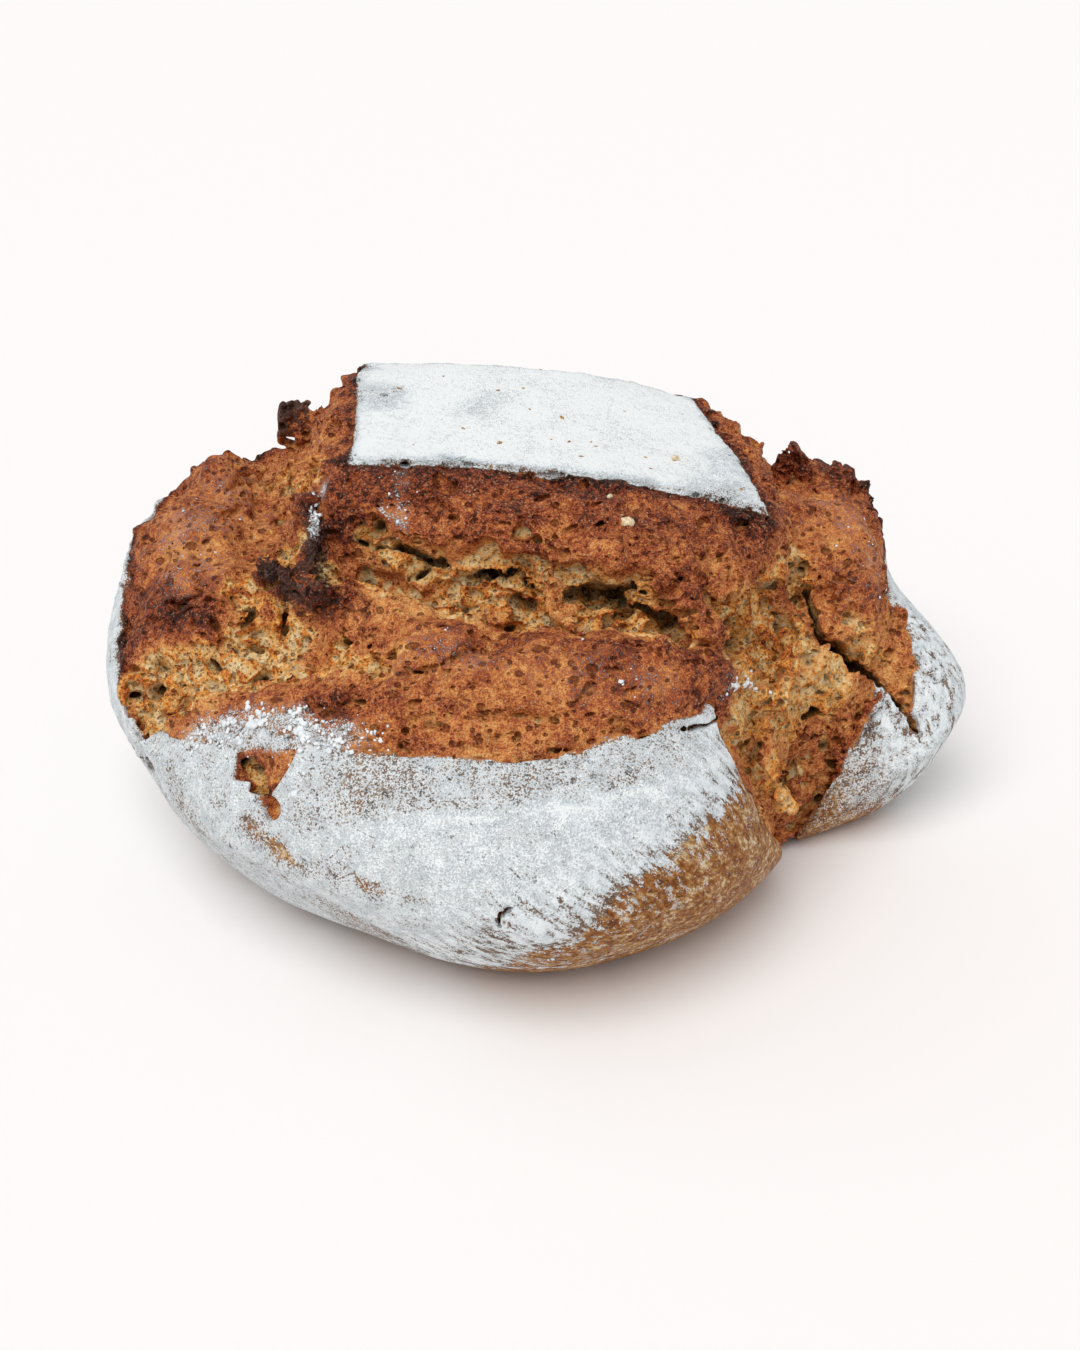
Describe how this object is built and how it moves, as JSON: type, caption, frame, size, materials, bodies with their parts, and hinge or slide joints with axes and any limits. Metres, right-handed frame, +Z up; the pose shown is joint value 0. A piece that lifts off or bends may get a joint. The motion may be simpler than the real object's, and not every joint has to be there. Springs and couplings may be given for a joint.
{
  "type": "rye bread loaf",
  "caption": "Round rustic rye loaf with a floured side crust, a square cut lid of floured crust and a burst, torn band round it.",
  "frame": {"origin": "middle of the loaf's box at the level of its flat base", "axes": "+Z up from the base, +X to the right across the loaf's widest way with the floured front side facing -Y"},
  "size_m": [0.2476, 0.2254, 0.1134],
  "materials": {
    "crust": "matt"
  },
  "bodies": {
    "root": {"loaf": "crust"}
  },
  "joints": []
}
